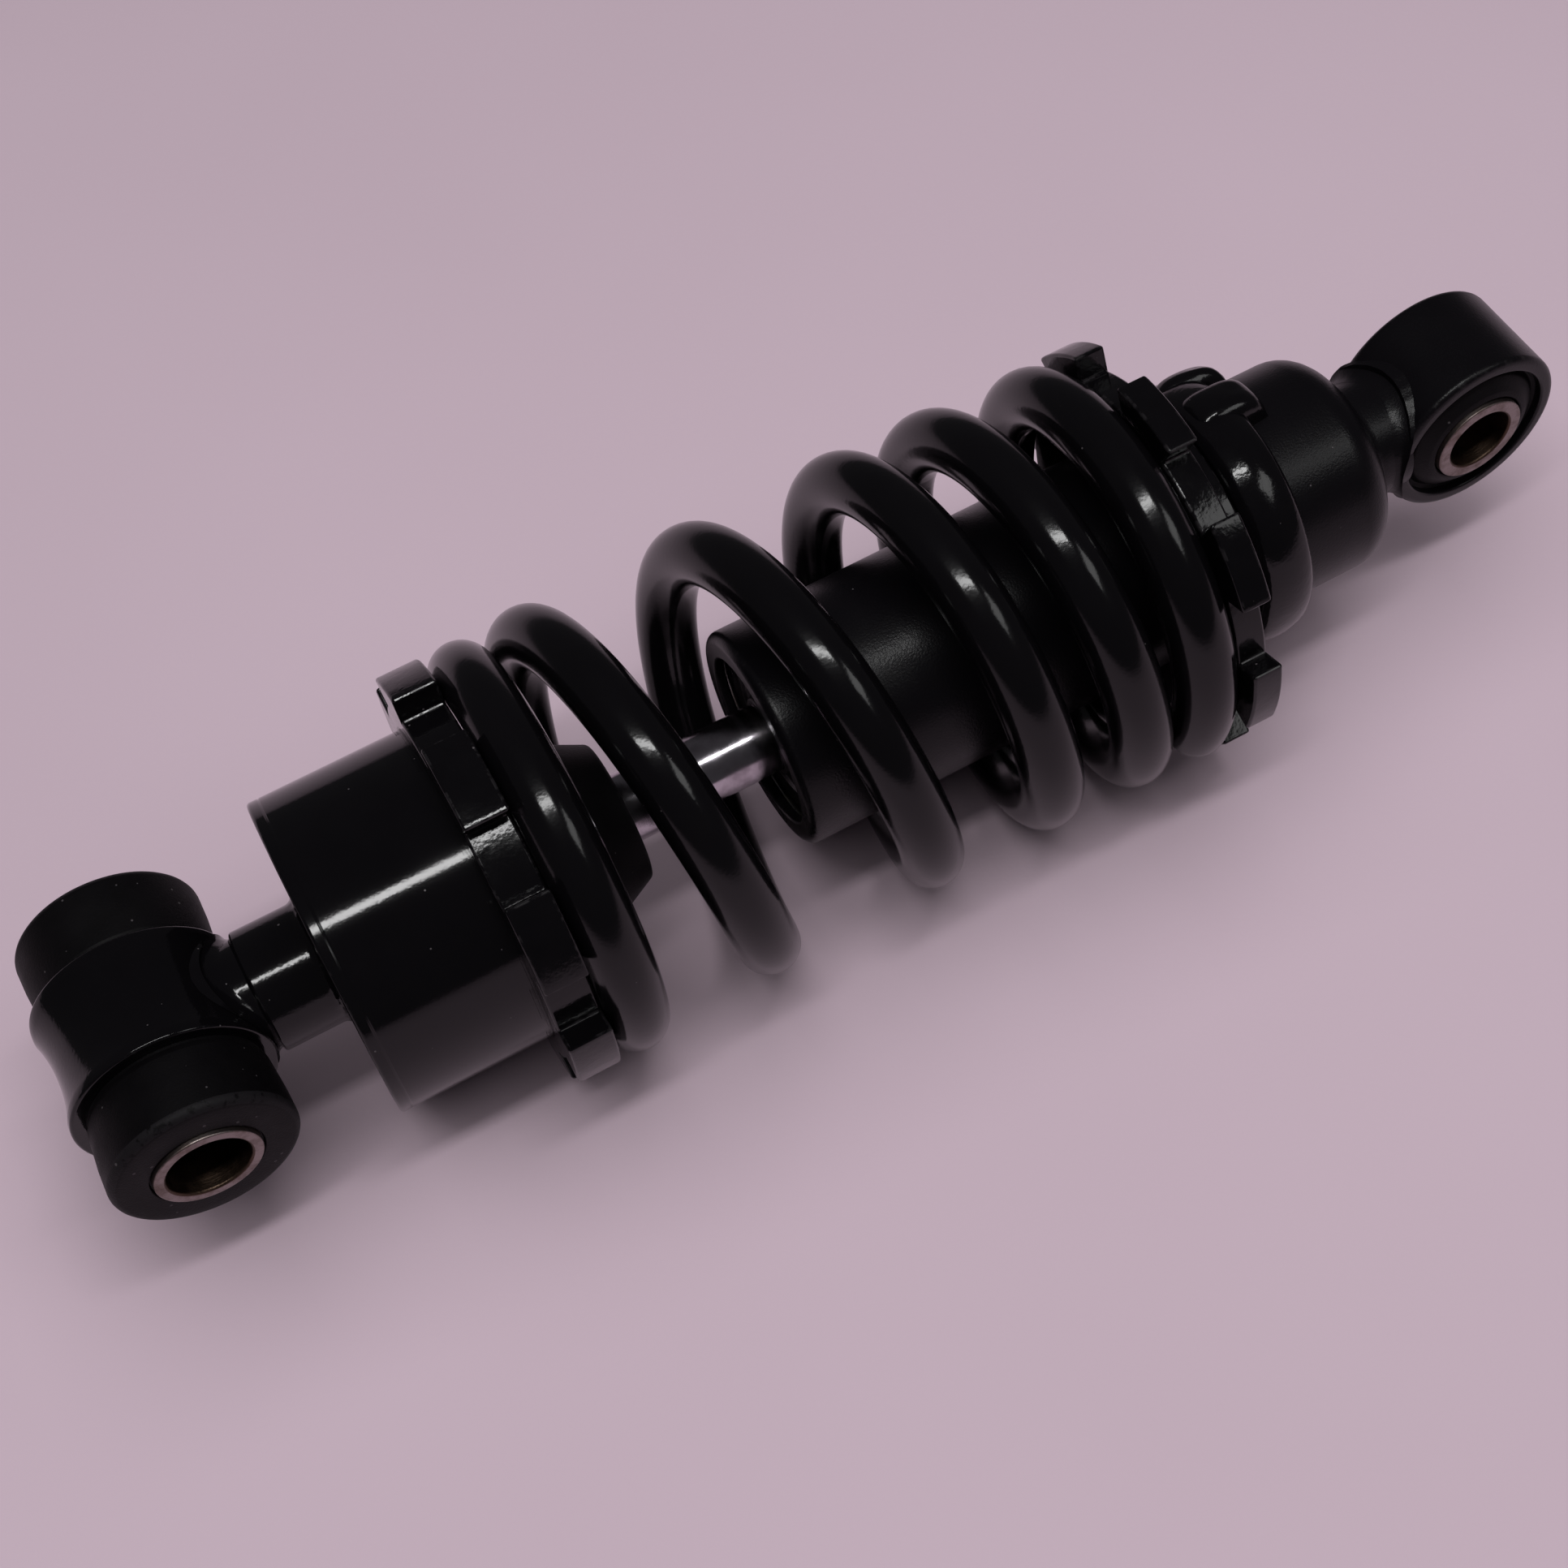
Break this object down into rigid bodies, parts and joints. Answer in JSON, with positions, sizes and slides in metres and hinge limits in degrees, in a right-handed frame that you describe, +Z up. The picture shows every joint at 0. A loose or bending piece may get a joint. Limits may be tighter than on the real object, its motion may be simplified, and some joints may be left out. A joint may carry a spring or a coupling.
{
  "type": "rear shock absorber",
  "caption": "Black motorcycle rear shock absorber: coil spring over a damper with a chromed rod, castellated spring seats, and rubber-bushed eyes at both ends.",
  "frame": {"origin": "centre of the lower eye's bolt bore", "axes": "+X along the shock from the lower eye to the upper eye, +Y along both eye bolts, +Z up as it lies on its side"},
  "size_m": [0.2839, 0.075, 0.075],
  "materials": {
    "gloss_black": "gloss",
    "cast_black": "gloss over a cast surface",
    "spring_black": "semi-gloss",
    "satin_black": "satin",
    "chrome": "polished",
    "rubber": "matte",
    "seal_rubber": "matte",
    "bare_steel": "dull, oiled",
    "plated_steel": "plated",
    "aluminium": "machined",
    "bearing_band": "matte"
  },
  "bodies": {
    "damper": {"damper_tube": "satin_black", "snap_ring": "plated_steel", "dust_cap": "satin_black", "wiper_seal": "seal_rubber", "oil_seal": "seal_rubber", "guide_bush": "bearing_band", "seal_head": "aluminium", "head_o_ring": "seal_rubber", "cam_collar": "cast_black", "upper_neck": "satin_black", "neck_weld": "satin_black", "upper_eye_ring": "satin_black", "upper_eye_rubber": "rubber", "coil_spring": "spring_black"},
    "gas_piston": {"floating_piston": "aluminium", "floating_o_ring": "seal_rubber"},
    "slider": {"piston_band": "bearing_band"},
    "rod": {"piston_rod": "chrome", "rebound_bumper": "rubber", "piston": "aluminium", "rebound_shims": "plated_steel", "compression_shims": "plated_steel", "piston_nut": "plated_steel", "lock_nut": "plated_steel", "bump_washer": "plated_steel", "bump_stop": "rubber", "lower_stem": "gloss_black", "stem_weld": "gloss_black", "spring_cup": "gloss_black", "cup_weld": "gloss_black", "lower_eye_barrel": "gloss_black", "lower_eye_rubber": "rubber"},
    "spring_seat": {"lower_ring": "cast_black"},
    "preload_washer": {"slip_washer": "cast_black"},
    "preload_ring": {"adjuster_ring": "cast_black"},
    "lower_bush": {"lower_eye_sleeve": "bare_steel"},
    "upper_bush": {"upper_eye_sleeve": "bare_steel"}
  },
  "joints": [
    {"name": "rod_slide", "type": "slide", "parent": "damper", "child": "slider", "axis": [1, 0, 0], "range_m": [0, 0.034], "stiffness_N_per_m": 105000, "springref_m": -0.004, "deforming": ["coil_spring", "bump_stop"]},
    {"name": "rod_swivel", "type": "hinge", "parent": "slider", "child": "rod", "pos_m": [0, 0, 0], "axis": [1, 0, 0], "continuous": true},
    {"name": "gas_piston_slide", "type": "slide", "parent": "damper", "child": "gas_piston", "axis": [1, 0, 0], "range_m": [0, 0.00448]},
    {"name": "lower_ring_turn", "type": "hinge", "parent": "rod", "child": "spring_seat", "pos_m": [0, 0, 0], "axis": [1, 0, 0], "continuous": true},
    {"name": "preload_lift", "type": "slide", "parent": "damper", "child": "preload_washer", "axis": [-1, 0, 0], "range_m": [0, 0.0041], "deforming": ["coil_spring"]},
    {"name": "preload_turn", "type": "hinge", "parent": "preload_washer", "child": "preload_ring", "pos_m": [0, 0, 0], "axis": [1, 0, 0], "range_deg": [0, 60]},
    {"name": "lower_bush_twist", "type": "hinge", "parent": "rod", "child": "lower_bush", "pos_m": [0, 0, 0], "axis": [0, 1, 0], "range_deg": [-20, 20], "stiffness_Nm_per_rad": 6},
    {"name": "upper_bush_twist", "type": "hinge", "parent": "damper", "child": "upper_bush", "pos_m": [0.25, 0, 0], "axis": [0, 1, 0], "range_deg": [-20, 20], "stiffness_Nm_per_rad": 4}
  ],
  "couplings": [
    {"joint": "gas_piston_slide", "follows": "rod_slide", "ratio": 0.11997},
    {"joint": "preload_lift", "follows": "preload_turn", "m_per_rad": 0.0038197}
  ]
}
